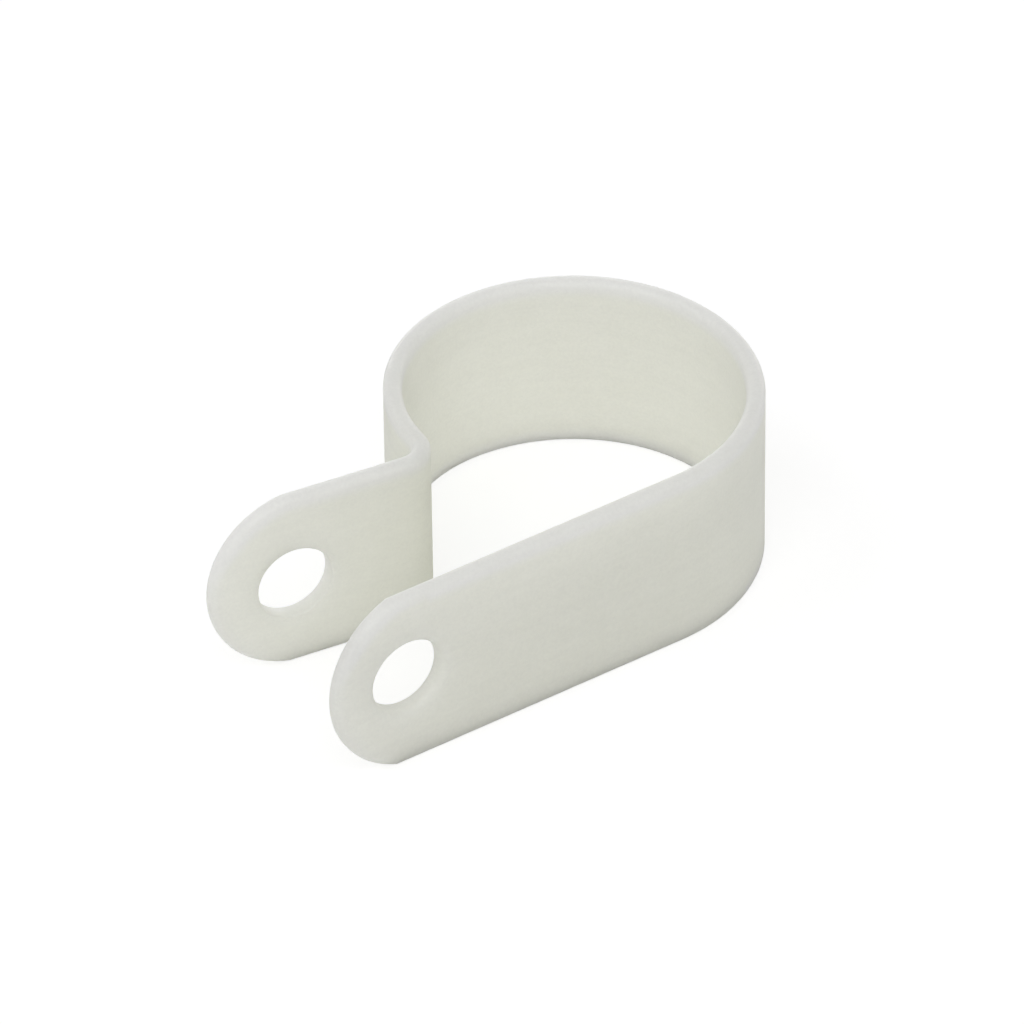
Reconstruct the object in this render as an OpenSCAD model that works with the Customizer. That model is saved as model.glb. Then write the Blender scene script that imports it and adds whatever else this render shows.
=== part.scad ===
// P clip: one moulded nylon strap that holds a cable against a panel with one screw.
// The strap runs from the rounded end of the long leg, round the cable loop, through the
// tight neck bend and out along the short tab, which stands open as moulded.
// The origin is the centre of the loop: Z is the loop's axis, the strap lies evenly
// above and below Z = 0, and the leg runs along -X at the loop's -Y side.

/* [Strap] */
// Width of the strap
strap_w = 12.7; // [10:0.1:20]
// Thickness of the strap
wall = 1.2; // [1.1:0.05:2]
// Rounding of the strap's edges, all the way round
edge_r = 0.5; // [0.1:0.05:0.5]

/* [Loop] */
// Inner diameter of the open loop, as moulded
loop_d = 22.2; // [16:0.1:40]
// Angle of the loop's main arc, from the leg to the shoulder
loop_turn = 177; // [160:1:190]
// How much tighter the shoulder's radius is than the loop's
shoulder_nip = 0.85; // [0:0.05:2]
// Angle of the shoulder, from the main arc to the neck
shoulder_turn = 90; // [75:1:100]

/* [Neck] */
// Inside radius of the neck bend
neck_r = 1.25; // [0.5:0.05:3]
// Angle by which the tab stands open from the leg
tab_splay = 8; // [0:1:25]

/* [Screw holes] */
// Diameter of both holes, to clear an M5 or No. 10 screw
hole_d = 5.1; // [3:0.1:6.5]

/* [Long leg] */
// Length from the loop to the centre of the leg's hole
leg_reach = 20.7; // [14:0.1:40]
// Material between the leg's hole and its tip
leg_tip = 2.9; // [1.5:0.05:4]
// How much larger the leg's end radius is than half the strap
leg_end_extra = 0.4; // [0:0.05:2]
// Height of the leg's hole above the strap's middle
leg_hole_rise = 0.2; // [-1:0.05:1]
// Rounding of the leg's hole on its outer face
leg_mouth_r = 0.5; // [0.05:0.05:0.8]

/* [Short tab] */
// Length from the neck bend to the centre of the tab's hole
tab_reach = 8; // [5:0.1:20]
// Material between the tab's hole and its tip
tab_tip = 3.25; // [1.5:0.05:4]
// How much larger the tab's end radius is than half the strap
tab_end_extra = 0.1; // [0:0.05:2]
// Height of the tab's hole above the strap's middle
tab_hole_rise = -0.15; // [-1:0.05:1]
// Rounding of the tab's hole on its outer face
tab_mouth_r = 0.15; // [0.05:0.05:0.8]

/* [Hidden] */
$fn = 96;
past = 1;                                    // how far a cutter runs past a face
lap = 0.0001;                                // overlap of the runs of strap where they join
nylon = [0.85, 0.86, 0.80];
loop_r = loop_d / 2;
shoulder_r = loop_r - shoulder_nip;
shoulder_start = loop_turn - 90;             // directions of the joints about their arcs
shoulder_end = shoulder_start + shoulder_turn;
neck_turn = shoulder_end - 90 + tab_splay;
tab_start = shoulder_end + 180 - neck_turn;
function around(angle) = [cos(angle), sin(angle), 0];
shoulder_at = shoulder_nip * around(shoulder_start);
neck_at = shoulder_at + (shoulder_r + wall + neck_r) * around(shoulder_end);
tab_at = neck_at + (neck_r + wall / 2) * around(tab_start);

// Moves a run of strap to p in a round step and the rest, so that its end face lands
// on its neighbour's to a millionth of a millimetre
module placed(p) {
    round_step = [for (v = p) round(100 * v) / 100];
    translate(round_step)
        translate(p - round_step)
            children();
}

// A wall-thick section with rounded corners, from x = 0 outwards and even about y = 0
module rounded_section(width) {
    translate([edge_r, -width / 2])
        square([wall - 2 * edge_r, width]);
    translate([0, edge_r - width / 2])
        square([wall, width - 2 * edge_r]);
    for (x = [edge_r, wall - edge_r], side = [-1, 1])
        translate([x, side * (width / 2 - edge_r)])
            circle(edge_r);
}

// Strap bent about Z with its near face at radius r, anticlockwise from the start angle
module bent_strap(r, start, turn)
    rotate_extrude(angle = turn + lap / r * 180 / PI, start = start)
        translate([r, 0])
            rounded_section(strap_w);

// Straight strap along -X, its inner face at y = 0 and its outer face at y = -wall
module straight_strap(length)
    rotate([90, 0, -90])
        linear_extrude(length)
            rounded_section(strap_w);

// Disc as thick as the strap with the same rounding at its rim, lying like the strap
module end_disc(r)
    rotate([90, 0, 0])
        rotate_extrude() {
            square([r - edge_r, wall]);
            translate([0, edge_r])
                square([r, wall - 2 * edge_r]);
            for (y = [edge_r, wall - edge_r])
                translate([r - edge_r, y])
                    circle(edge_r);
        }

// Cutter for a screw hole along Y, with a rounded mouth at the outer face
module screw_hole(mouth_r)
    rotate([90, 0, 0])
        rotate_extrude() {
            translate([0, -past])
                square([hole_d / 2, wall + 2 * past]);
            difference() {
                translate([0, wall - mouth_r])
                    square([hole_d / 2 + mouth_r, mouth_r + past]);
                translate([hole_d / 2 + mouth_r, wall - mouth_r])
                    circle(mouth_r);
            }
        }

// Flat run of strap along -X to an end rounded by a disc, with its screw hole. The disc
// is wider than the strap, so its arc meets the straight edges at a slight corner.
module flat_end(reach, tip, end_extra, hole_rise, mouth_r) {
    end_r = strap_w / 2 + end_extra;
    arc_x = reach + hole_d / 2 + tip - end_r;
    difference() {
        union() {
            translate([lap, 0, 0])
                straight_strap(arc_x + lap);
            translate([-arc_x, 0, 0])
                intersection() {
                    straight_strap(end_r);
                    end_disc(end_r);
                }
        }
        translate([-reach, 0, hole_rise])
            screw_hole(mouth_r);
    }
}

module long_leg()
    translate([0, -loop_r, 0])
        flat_end(leg_reach, leg_tip, leg_end_extra, leg_hole_rise, leg_mouth_r);

module cable_loop() {
    bent_strap(loop_r, -90, loop_turn);
    placed(shoulder_at)
        bent_strap(shoulder_r, shoulder_start, shoulder_turn);
}

module neck_bend()
    placed(neck_at)
        bent_strap(neck_r, tab_start, neck_turn);

// The tab's outer face is the one away from the leg
module short_tab()
    placed(tab_at)
        rotate([0, 0, -tab_splay])
            translate([0, -wall / 2, 0])
                mirror([0, 1, 0])
                    flat_end(tab_reach, tab_tip, tab_end_extra, tab_hole_rise, tab_mouth_r);

// The whole clip, moulded in one piece
module clip()
    color(nylon)
        union() {
            long_leg();
            cable_loop();
            neck_bend();
            short_tab();
        }

clip();
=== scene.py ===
"""A natural nylon P clip on a pale studio floor.

One moulded piece: a strap bent into an open loop for the cable, with a long
flat leg and a short tab, each with a screw hole and a rounded end.

The strap is laid out flat first: s runs along it from the leg, past the loop
and the neck to the tab, and w across it. The flat sheet of quads, with its
rounded ends and its holes, is then given its two faces and bent into place.
"""

from math import acos, cos, hypot, pi, radians, sin, sqrt

import bmesh
import bpy
from bpy.props import FloatProperty, PointerProperty, StringProperty
from mathutils import Euler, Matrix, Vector


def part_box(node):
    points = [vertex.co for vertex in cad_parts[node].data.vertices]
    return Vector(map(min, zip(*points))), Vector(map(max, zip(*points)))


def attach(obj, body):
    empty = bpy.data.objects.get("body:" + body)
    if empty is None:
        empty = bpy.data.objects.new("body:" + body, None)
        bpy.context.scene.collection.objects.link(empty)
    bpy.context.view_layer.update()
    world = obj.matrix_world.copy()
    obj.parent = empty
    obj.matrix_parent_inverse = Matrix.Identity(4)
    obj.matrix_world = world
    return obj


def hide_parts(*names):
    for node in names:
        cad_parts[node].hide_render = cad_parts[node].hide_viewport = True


bl_info = {
    "name": "Nylon P clip",
    "version": (1, 0, 0),
    "blender": (4, 5, 0),
    "location": "3D View > Sidebar > P clip",
    "description": "Moulds a nylon P clip and sets up its studio",
    "category": "Object",
}

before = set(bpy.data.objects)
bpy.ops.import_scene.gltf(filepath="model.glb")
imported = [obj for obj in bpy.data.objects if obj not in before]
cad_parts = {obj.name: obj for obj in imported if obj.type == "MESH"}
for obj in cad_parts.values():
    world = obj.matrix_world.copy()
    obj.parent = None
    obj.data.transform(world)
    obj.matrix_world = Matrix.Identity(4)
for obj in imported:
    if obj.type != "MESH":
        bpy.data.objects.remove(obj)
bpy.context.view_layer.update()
CLIP_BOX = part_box("clip")
MM = 0.001


def linear(hex_colour):
    """An sRGB hex colour such as d7d9cc as the linear RGBA that Blender's sockets take."""
    channels = [int(hex_colour[i : i + 2], 16) / 255 for i in (0, 2, 4)]
    return [c / 12.92 if c <= 0.04045 else ((c + 0.055) / 1.055) ** 2.4 for c in channels] + [1.0]


def add_node(tree, kind, settings=None, **inputs):
    """Adds a node with its settings and inputs. An input is a value, or a socket to link from.

    An input's name has underscores for spaces, and i_ with a number picks an input by its place.
    """
    node = tree.nodes.new(kind)
    for name, value in (settings or {}).items():
        setattr(node, name, value)
    for name, value in inputs.items():
        socket = node.inputs[int(name[2:]) if name.startswith("i_") else name.replace("_", " ")]
        if isinstance(value, bpy.types.NodeSocket):
            tree.links.new(value, socket)
        else:
            socket.default_value = value
    return node


def length(name, description, default_mm):
    return FloatProperty(
        name=name,
        description=description,
        default=default_mm * MM,
        unit="LENGTH",
        subtype="DISTANCE",
        precision=5,
    )


def angle(name, description, default_degrees):
    return FloatProperty(
        name=name, description=description, default=radians(default_degrees), unit="ROTATION", subtype="ANGLE"
    )


class StrapSizes(bpy.types.PropertyGroup):
    """Sizes of the moulded strap."""

    width: FloatProperty(
        name="Width",
        description="Width of the strap, along the loop's axis",
        default=CLIP_BOX[1][2] - CLIP_BOX[0][2],
        unit="LENGTH",
        subtype="DISTANCE",
        precision=5,
    )
    wall: length("Wall", "Thickness of the strap", 1.2)
    edge: length("Edge rounding", "Rounding of the strap's edges", 0.5)
    loop_radius: length("Loop radius", "Inner radius of the loop's main arc", 11.1)
    loop_turn: angle("Loop turn", "Angle of the main arc, from the leg to the shoulder", 177)
    shoulder_nip: length("Shoulder nip", "How much tighter the shoulder's radius is than the loop's", 0.85)
    shoulder_turn: angle("Shoulder turn", "Angle of the shoulder, from the main arc to the neck", 90)
    neck_radius: length("Neck radius", "Inside radius of the neck bend", 1.25)
    tab_splay: angle("Tab splay", "How far the tab stands open from the leg", 8)
    hole_radius: length("Hole radius", "Radius of both screw holes", 2.55)
    leg_reach: length("Leg reach", "From the loop to the centre of the leg's hole", 20.7)
    leg_tip: length("Leg tip", "From the edge of the leg's hole to its tip", 2.9)
    leg_end_radius: length("Leg end radius", "Radius of the leg's rounded end", 6.75)
    leg_hole_rise: length("Leg hole rise", "Height of the leg's hole above the middle", 0.2)
    leg_mouth: length("Leg mouth", "Rounding of the leg's hole on its outer face", 0.5)
    tab_reach: length("Tab reach", "From the neck to the centre of the tab's hole", 8.0)
    tab_tip: length("Tab tip", "From the edge of the tab's hole to its tip", 3.25)
    tab_end_radius: length("Tab end radius", "Radius of the tab's rounded end", 6.45)
    tab_hole_rise: length("Tab hole rise", "Height of the tab's hole above the middle", -0.15)
    tab_mouth: length("Tab mouth", "Rounding of the tab's hole on its outer face", 0.15)
    grid: length("Grid", "Side of the mesh's quads on the flat faces", 0.45)


class NylonLook(bpy.types.PropertyGroup):
    """Colours and finish of the moulded nylon, with the greyer tone of painted light on its rims."""

    body_colour: StringProperty(
        name="Body colour", description="Nylon of the faces, sRGB hex", default="f1f2e0"
    )
    # The rim colour is painted light: the neutral tone that light from above gives the up-facing rims, and
    # the white floor's bounce gives the loop's lower edge.
    painted_light_rim_colour: StringProperty(
        name="Rim colour", description="Nylon of the greyer rims, sRGB hex", default="f2f2e8"
    )
    roughness: FloatProperty(
        name="Roughness", description="Satin of the mould's fine texture", default=0.48, min=0, max=1
    )
    scatter_depth: length("Scatter depth", "How far light travels inside the nylon", 6.0)


class StageLook(bpy.types.PropertyGroup):
    """The floor and the light."""

    floor_colour: StringProperty(
        name="Floor colour", description="Matt card of the floor, sRGB hex", default="f6f6f6"
    )
    sky_strength: FloatProperty(name="Sky strength", description="Light from the white tent", default=0.243)
    lamp_power: FloatProperty(
        name="Lamp power",
        description="A softbox at 1 m that lights white card as white",
        default=pi**2,
        unit="POWER",
    )
    backdrop_strength: FloatProperty(
        name="Backdrop strength", description="White that only the camera sees on the floor", default=1.25
    )
    backdrop_share: FloatProperty(
        name="Backdrop share",
        description="How much of it covers the floor's own shading",
        default=0.6,
        min=0,
        max=1,
    )


# Softboxes a metre away: name, direction in degrees anticlockwise from +X, height in degrees, width and
# height in metres, and how much of white each gives a card that faces it
SOFTBOXES = (
    ("back_window", 50, 8, 2.2, 0.25, 0.545),
    ("left_softbox", 150, 45, 0.7, 0.7, 0.25),
    ("key_softbox", 228, 50, 0.7, 0.7, 0.34),
    ("right_softbox", 300, 42, 0.7, 0.7, 0.157),
)


# A long lens 0.6 m away: millimetres, degrees of turn from +Y, of tilt down and of roll, and metres
LENS, SENSOR = 335.24, 36.0
CAMERA_ANGLES = (34.109, 37.198, -0.744)
CAMERA_PLACE = (-0.274828, -0.398960, 0.364121)


# ---------------------------------------------------------------- the strap, laid out flat


# The rim distance past which nothing of the painted light tone on the rims is left, and that of points far
# from any such edge
FADE = 1.3 * MM
FAR = 5 * MM
EDGE_STEPS = 7


def drop(inset, radius):
    """How far a face has fallen, at a distance inside an edge of this rounding."""
    return radius - sqrt(radius**2 - (radius - inset) ** 2) if inset < radius else 0.0


def insets(radius, steps):
    """Distances inside a rounded edge at even angles round it, from the edge inwards."""
    return [radius * (1 - cos(pi / 2 * k / steps)) for k in range(steps + 1)]


def spread(start, end, step):
    """Even values from start to end, both included, no further apart than a step."""
    count = max(1, round(abs(end - start) / step))
    return [start + (end - start) * k / count for k in range(count + 1)]


class Bend:
    """The strap's middle line: where a flat point lies once the strap is bent."""

    def __init__(self, size):
        self.loop = size.loop_radius + size.wall / 2
        self.shoulder = self.loop - size.shoulder_nip
        self.neck = size.neck_radius + size.wall / 2
        neck_turn = size.loop_turn + size.shoulder_turn - pi + size.tab_splay
        self.turns = (size.loop_turn, size.shoulder_turn, neck_turn)
        start, end = size.loop_turn - pi / 2, size.loop_turn - pi / 2 + size.shoulder_turn
        self.shoulder_at = Vector((cos(start), sin(start))) * size.shoulder_nip
        self.neck_at = self.shoulder_at + Vector((cos(end), sin(end))) * (self.shoulder + self.neck)
        self.shoulder_s = self.loop * self.turns[0]
        self.neck_s = self.shoulder_s + self.shoulder * self.turns[1]
        self.tab_s = self.neck_s + self.neck * self.turns[2]

    def place(self, s, w, t):
        """A point in the frame, t being its height from the middle towards the cable's side."""
        if s <= 0:
            return s, -self.loop + t, w
        if s <= self.shoulder_s:
            a = s / self.loop - pi / 2
            return (self.loop - t) * cos(a), (self.loop - t) * sin(a), w
        start = self.turns[0] - pi / 2
        if s <= self.neck_s:
            a, r = start + (s - self.shoulder_s) / self.shoulder, self.shoulder - t
            return self.shoulder_at.x + r * cos(a), self.shoulder_at.y + r * sin(a), w
        round_neck = min(s, self.tab_s) - self.neck_s
        a, r = start + self.turns[1] + pi - round_neck / self.neck, self.neck + t
        on = max(0.0, s - self.tab_s)
        return self.neck_at.x + r * cos(a) + on * sin(a), self.neck_at.y + r * sin(a) - on * cos(a), w


class Sheet:
    """Quads on the flat strap.

    A point is (s, w, fall on the cable's side, fall on the outer side, rim distance). The rim distance
    is from the nearest edge that faces up, or down under the loop, where a greyer tone is painted: it
    paints the neutral light from above on the up-facing edges, and the white floor's bounced light
    under the loop.
    """

    def __init__(self):
        self.points, self.quads, self.known = [], [], {}

    def point(self, s, w, inner_fall, outer_fall, rim):
        key = (round(s / MM * 1e4), round(w / MM * 1e4))
        if key not in self.known:
            self.known[key] = len(self.points)
            self.points.append((s, w, inner_fall, outer_fall, rim))
        return self.known[key]

    def rows(self, rows, closed=False):
        """Joins rows of point numbers with quads."""
        for low, high in zip(rows, rows[1:]):
            last = len(low) if closed else len(low) - 1
            for k in range(last):
                n = (k + 1) % len(low)
                self.quads.append((low[k], low[n], high[n], high[k]))


def run_of_strap(sheet, size, stations, loop_ends):
    """The strap between its two ends."""
    half, rim = size.width / 2, insets(size.edge, EDGE_STEPS)
    across = [-half + d for d in rim[:-1]] + spread(size.edge - half, half - size.edge, size.grid)
    across += [half - d for d in reversed(rim[:-1])]
    rows = []
    for s in stations:
        row = []
        for w in across:
            inset = half - abs(w)
            fall = drop(inset, size.edge)
            in_loop = loop_ends[0] < s < loop_ends[1]
            # Up-facing edges, and in the loop the lower edge too, get their distance for the greyer tone of
            # painted light
            row.append(sheet.point(s, w, fall, fall, inset if w > 0 or in_loop else FAR))
        rows.append(row)
    sheet.rows(rows)


def rounded_end(sheet, size, way, seam, hole_s, rise, tip, end_radius, mouth):
    """An end of the strap, from a seam across it to its tip and round its hole.

    Way is -1 for the leg and 1 for the tab.
    """
    half, hole = size.width / 2, size.hole_radius
    tip_s = hole_s + way * (hole + tip)
    arc_s = tip_s - way * end_radius
    straight = round(abs(arc_s - seam) / size.grid) + 2
    turns = round(end_radius * 2.4 / size.grid)

    def outline(inset):
        """The end's outline moved in by an inset, from the seam's top to its bottom."""
        r, h = end_radius - inset, half - inset
        corner = acos(sqrt(r * r - h * h) / r)
        corner_s = arc_s + way * r * cos(corner)
        run = [(s, h) for s in spread(seam, corner_s, abs(corner_s - seam) / straight)]
        arc = [(arc_s + way * r * cos(a), r * sin(a)) for a in spread(corner, -corner, 2 * corner / turns)]
        return run[:-1] + arc + [(s, -h) for s in spread(corner_s, seam, abs(corner_s - seam) / straight)][1:]

    def from_rim(s, w):
        """Distance from the outline that places the painted light tone, made longer where the outline no
        longer faces up.
        """
        if way * (s - arc_s) > 0:
            r = max(hypot(s - arc_s, w), 0.1 * MM)
            return end_radius - r + FADE * (1 - min(max(1.6 * w / r, 0), 1))
        return half - w if w > 0 else FAR

    rings = []
    for inset in insets(size.edge, EDGE_STEPS):
        fall = drop(inset, size.edge)
        rings.append([sheet.point(s, w, fall, fall, from_rim(s, w)) for s, w in outline(inset)])
    sheet.rows(rings)

    inner = half - size.edge
    border = outline(size.edge) + [(seam, w) for w in spread(-inner, inner, size.grid)][1:-1]
    reach = [hypot(s - hole_s, w - rise) for s, w in border]
    # The edge on the cable's side is all but sharp. A wide mouth needs more rings than a narrow one.
    wide = mouth > 0.3 * MM
    sharp, steps = (0.07 * MM, 6) if wide else (0.075 * MM, 3)
    rings = []
    for inset in insets(mouth, steps):
        ring = []
        for (s, w), r in zip(border, reach):
            f = (hole + inset) / r
            ps, pw = hole_s + (s - hole_s) * f, rise + (w - rise) * f
            ring.append(sheet.point(ps, pw, drop(inset, sharp), drop(inset, mouth), FAR))
        rings.append(ring)
    around = 9
    for k in range(1, around + 1):
        ring = []
        for (s, w), r in zip(border, reach):
            f = (hole + mouth + (r - hole - mouth) * k / around) / r
            ps, pw = hole_s + (s - hole_s) * f, rise + (w - rise) * f
            if k == around:
                ps, pw = s, w
            ring.append(sheet.point(ps, pw, 0.0, 0.0, from_rim(ps, pw)))
        rings.append(ring)
    sheet.rows(rings, closed=True)


def strap_mesh(size):
    """The whole strap: the flat sheet, its two faces, and the walls along its free edges, bent into place."""
    sheet, bend = Sheet(), Bend(size)
    leg_seam, tab_seam = -size.leg_reach + 7 * MM, bend.tab_s + 1.2 * MM
    stations = spread(leg_seam, 0, size.grid)
    stations += spread(0, bend.shoulder_s, size.grid)[1:]
    stations += spread(bend.shoulder_s, bend.neck_s, size.grid)[1:]
    stations += spread(bend.neck_s, bend.tab_s, 0.18 * MM)[1:]
    stations += spread(bend.tab_s, tab_seam, size.grid)[1:]
    run_of_strap(sheet, size, stations, (bend.loop * 0.5, bend.neck_s - 3 * MM))
    rounded_end(
        sheet,
        size,
        -1,
        leg_seam,
        -size.leg_reach,
        size.leg_hole_rise,
        size.leg_tip,
        size.leg_end_radius,
        size.leg_mouth,
    )
    rounded_end(
        sheet,
        size,
        1,
        tab_seam,
        bend.tab_s + size.tab_reach,
        size.tab_hole_rise,
        size.tab_tip,
        size.tab_end_radius,
        size.tab_mouth,
    )

    verts, rims, flat, faces = [], [], [], []
    half, count = size.wall / 2, len(sheet.points)
    for side in (1, -1):
        for s, w, inner_fall, outer_fall, rim in sheet.points:
            t = half - (inner_fall if side > 0 else outer_fall)
            verts.append(bend.place(s, w, side * t))
            rims.append(rim)
            flat.append((s, w))
    for a, b, c, d in sheet.quads:
        faces += [(a, b, c, d), (d + count, c + count, b + count, a + count)]
    edges = {}
    for quad in sheet.quads:
        for k in range(4):
            edge = (quad[k], quad[(k + 1) % 4])
            key = (min(edge), max(edge))
            edges[key] = None if key in edges else edge
    columns = {}

    def column(number):
        """Points down the wall at one point of a free edge, both faces' own included."""
        if number not in columns:
            s, w, inner_fall, outer_fall, rim = sheet.points[number]
            top, bottom = half - inner_fall, outer_fall - half
            steps = 4 if top - bottom > 0.3 * MM else 2
            down = [number]
            for k in range(1, steps):
                verts.append(bend.place(s, w, top + (bottom - top) * k / steps))
                rims.append(rim)
                flat.append((s, w))
                down.append(len(verts) - 1)
            columns[number] = down + [number + count]
        return columns[number]

    for edge in edges.values():
        if edge:
            one, two = column(edge[0]), column(edge[1])
            for k in range(len(one) - 1):
                faces.append((one[k + 1], two[k + 1], two[k], one[k]))

    mesh = bpy.data.meshes.new("moulded_strap")
    mesh.from_pydata(verts, [], faces)
    mesh.attributes.new("painted_light_rim_distance", "FLOAT", "POINT").data.foreach_set("value", rims)
    flat_strap = mesh.attributes.new("flat_strap", "FLOAT2", "POINT")
    flat_strap.data.foreach_set("vector", [value for point in flat for value in point])
    shell = bmesh.new()
    shell.from_mesh(mesh)
    bmesh.ops.recalc_face_normals(shell, faces=shell.faces)
    shell.to_mesh(mesh)
    shell.free()
    mesh.shade_smooth()
    return mesh


# ---------------------------------------------------------------- materials


def natural_nylon(look):
    """Nylon 6/6 in its natural colour, injection moulded against a finely spark-eroded steel cavity.

    Light soaks deep into the milky wall, so its tone is even and its shadows are soft. The eroded steel
    leaves a satin of fine pits, and the melt leaves faint streaks where it flowed along the strap.
    """
    material = bpy.data.materials.new("nylon_66_natural_moulded")
    material.use_nodes = True
    tree = material.node_tree
    tree.nodes.clear()
    place = add_node(tree, "ShaderNodeTexCoord").outputs["Object"]
    flat = add_node(tree, "ShaderNodeAttribute", {"attribute_name": "flat_strap"}).outputs["Vector"]

    # Pits of the eroded steel are about 0.05 mm across. They are drawn 0.2 mm across, so that they show.
    pits = add_node(tree, "ShaderNodeTexNoise", Vector=place, Scale=1 / (0.2 * MM), Detail=2.0, Roughness=0.6)
    # Cloudy patches of the half-crystalline nylon, about 2 mm across
    clouds = add_node(
        tree, "ShaderNodeTexNoise", Vector=place, Scale=1 / (2.0 * MM), Detail=3.0, Roughness=0.55
    )
    # Flow streaks about 7 mm long and 0.6 mm wide, along the strap
    streak_size = (1 / (7 * MM), 1 / (0.6 * MM), 0)
    along = add_node(tree, "ShaderNodeVectorMath", {"operation": "MULTIPLY"}, i_0=flat, i_1=streak_size)
    streaks = add_node(
        tree,
        "ShaderNodeTexNoise",
        Vector=along.outputs[0],
        Scale=1.0,
        Detail=2.0,
        Distortion=0.5,
    )

    # Painted light: near the up-facing rims, and the loop's lower edge, the nylon turns to a greyer tone that
    # stands in for the neutral light from above and the white floor's bounce.
    rim = add_node(tree, "ShaderNodeAttribute", {"attribute_name": "painted_light_rim_distance"})
    near = add_node(
        tree,
        "ShaderNodeMapRange",
        {"interpolation_type": "SMOOTHSTEP"},
        Value=rim.outputs["Fac"],
        From_Min=0.3 * MM,
        From_Max=FADE,
    )
    tone = add_node(
        tree,
        "ShaderNodeMix",
        {"data_type": "RGBA"},
        i_0=near.outputs[0],
        i_6=linear(look.painted_light_rim_colour),
        i_7=linear(look.body_colour),
    ).outputs[2]
    # Each pattern darkens the nylon by a few parts in a hundred where it is strongest
    mottle = ((pits, 0.3, 0.7, 0.955), (clouds, 0.35, 0.65, 0.985), (streaks, 0.35, 0.65, 0.985))
    for pattern, low, high, shade in mottle:
        depth = add_node(
            tree, "ShaderNodeMapRange", Value=pattern.outputs["Fac"], From_Min=low, From_Max=high
        )
        tone = add_node(
            tree,
            "ShaderNodeMix",
            {"data_type": "RGBA", "blend_type": "MULTIPLY"},
            i_0=depth.outputs[0],
            i_6=tone,
            i_7=(shade, shade, shade * 1.002, 1),
        ).outputs[2]
    waves = add_node(tree, "ShaderNodeBump", Strength=1.0, Distance=0.012 * MM, Height=streaks.outputs["Fac"])
    relief = add_node(
        tree,
        "ShaderNodeBump",
        Strength=1.0,
        Distance=0.004 * MM,
        Height=pits.outputs["Fac"],
        Normal=waves.outputs[0],
    )
    satin = add_node(
        tree,
        "ShaderNodeMapRange",
        Value=clouds.outputs["Fac"],
        From_Min=0.3,
        From_Max=0.7,
        To_Min=look.roughness - 0.05,
        To_Max=look.roughness + 0.05,
    )
    body = add_node(
        tree,
        "ShaderNodeBsdfPrincipled",
        {"subsurface_method": "RANDOM_WALK"},
        Base_Color=tone,
        Roughness=satin.outputs[0],
        IOR=1.53,
        Subsurface_Weight=1.0,
        Subsurface_Radius=(1.0, 1.0, 1.0),
        Subsurface_Scale=look.scatter_depth,
        Normal=relief.outputs[0],
    )
    add_node(tree, "ShaderNodeOutputMaterial", Surface=body.outputs[0])
    return material


class PCLIP_OT_strap(bpy.types.Operator):
    """Moulds the strap with its loop, neck, leg and tab, and gives it its nylon"""

    bl_idname = "pclip.strap"
    bl_label = "Moulded strap"

    def execute(self, context):
        mesh = strap_mesh(context.scene.pclip_sizes)
        mesh.materials.append(natural_nylon(context.scene.pclip_nylon))
        strap = bpy.data.objects.new("moulded_strap", mesh)
        context.scene.collection.objects.link(strap)
        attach(strap, "root")
        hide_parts("clip")
        return {"FINISHED"}


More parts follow.
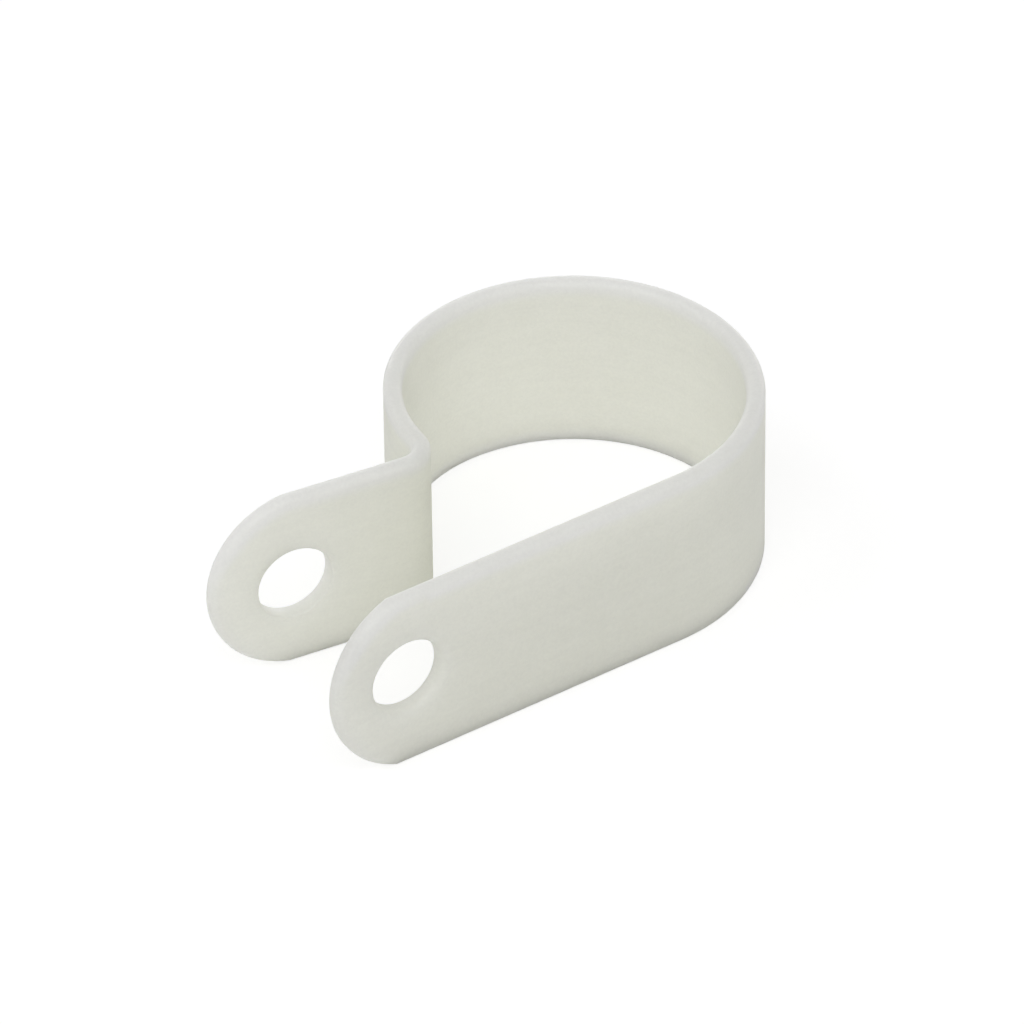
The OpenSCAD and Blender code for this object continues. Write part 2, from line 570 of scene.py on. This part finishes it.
class PCLIP_OT_stage(bpy.types.Operator):
    """Lays the pale floor and sets the soft light and the camera"""

    bl_idname = "pclip.stage"
    bl_label = "Stage"

    def execute(self, context):
        look = context.scene.pclip_stage
        floor_mesh = bpy.data.meshes.new("floor")
        reach, level = 3.0, CLIP_BOX[0][2]
        floor_mesh.from_pydata(
            [(-reach, -reach, level), (reach, -reach, level), (reach, reach, level), (-reach, reach, level)],
            [],
            [(0, 1, 2, 3)],
        )
        floor = bpy.data.objects.new("floor", floor_mesh)
        context.scene.collection.objects.link(floor)
        card = bpy.data.materials.new("matt_card_white")
        card.use_nodes = True
        tree = card.node_tree
        tree.nodes.clear()
        matt = add_node(tree, "ShaderNodeBsdfDiffuse", Color=linear(look.floor_colour))
        backdrop = add_node(tree, "ShaderNodeEmission", Color=(1, 1, 1, 1), Strength=look.backdrop_strength)
        path = add_node(tree, "ShaderNodeLightPath")
        lift = add_node(
            tree,
            "ShaderNodeMath",
            {"operation": "MULTIPLY"},
            i_0=path.outputs["Is Camera Ray"],
            i_1=look.backdrop_share,
        )
        seen = add_node(
            tree, "ShaderNodeMixShader", i_0=lift.outputs[0], i_1=matt.outputs[0], i_2=backdrop.outputs[0]
        )
        add_node(tree, "ShaderNodeOutputMaterial", Surface=seen.outputs[0])
        floor_mesh.materials.append(card)

        world = bpy.data.worlds.new("studio")
        context.scene.world = world
        world.use_nodes = True
        tree = world.node_tree
        tree.nodes.clear()
        sky = add_node(tree, "ShaderNodeBackground", Color=(1, 1, 1, 1), Strength=look.sky_strength)
        add_node(tree, "ShaderNodeOutputWorld", Surface=sky.outputs[0])

        for name, turn, rise, width, height, strength in SOFTBOXES:
            lamp = bpy.data.lights.new(name, "AREA")
            lamp.shape, lamp.size, lamp.size_y = "RECTANGLE", width, height
            lamp.energy = look.lamp_power * strength
            softbox = bpy.data.objects.new(name, lamp)
            a, e = radians(turn), radians(rise)
            softbox.location = (cos(a) * cos(e), sin(a) * cos(e), sin(e))
            softbox.rotation_euler = softbox.location.to_track_quat("Z", "Y").to_euler()
            context.scene.collection.objects.link(softbox)

        camera = bpy.data.objects.new("camera", bpy.data.cameras.new("camera"))
        camera.data.lens = LENS
        camera.data.sensor_width = SENSOR
        turn, tilt, roll = (radians(a) for a in CAMERA_ANGLES)
        aim = Euler((pi / 2 - tilt, 0, -turn)).to_matrix() @ Euler((0, 0, roll)).to_matrix()
        camera.rotation_euler = aim.to_euler()
        camera.location = CAMERA_PLACE
        context.scene.collection.objects.link(camera)
        context.scene.camera = camera
        context.scene.view_settings.view_transform = "Standard"
        return {"FINISHED"}


class PCLIP_PT_panel(bpy.types.Panel):
    """The clip's pieces and their settings"""

    bl_idname = "PCLIP_PT_panel"
    bl_label = "P clip"
    bl_space_type = "VIEW_3D"
    bl_region_type = "UI"
    bl_category = "P clip"

    def draw(self, context):
        column, scene = self.layout.column(), context.scene
        for group in (scene.pclip_sizes, scene.pclip_nylon, scene.pclip_stage):
            for name in group.__annotations__:
                column.prop(group, name)
        column.operator("pclip.strap")
        column.operator("pclip.stage")


CLASSES = (StrapSizes, NylonLook, StageLook, PCLIP_OT_strap, PCLIP_OT_stage, PCLIP_PT_panel)


def register():
    for cls in CLASSES:
        bpy.utils.register_class(cls)
    bpy.types.Scene.pclip_sizes = PointerProperty(type=StrapSizes)
    bpy.types.Scene.pclip_nylon = PointerProperty(type=NylonLook)
    bpy.types.Scene.pclip_stage = PointerProperty(type=StageLook)


def unregister():
    for name in ("pclip_sizes", "pclip_nylon", "pclip_stage"):
        delattr(bpy.types.Scene, name)
    for cls in reversed(CLASSES):
        bpy.utils.unregister_class(cls)


def main():
    register()
    bpy.ops.pclip.strap()
    bpy.ops.pclip.stage()


if __name__ == "__main__":
    main()
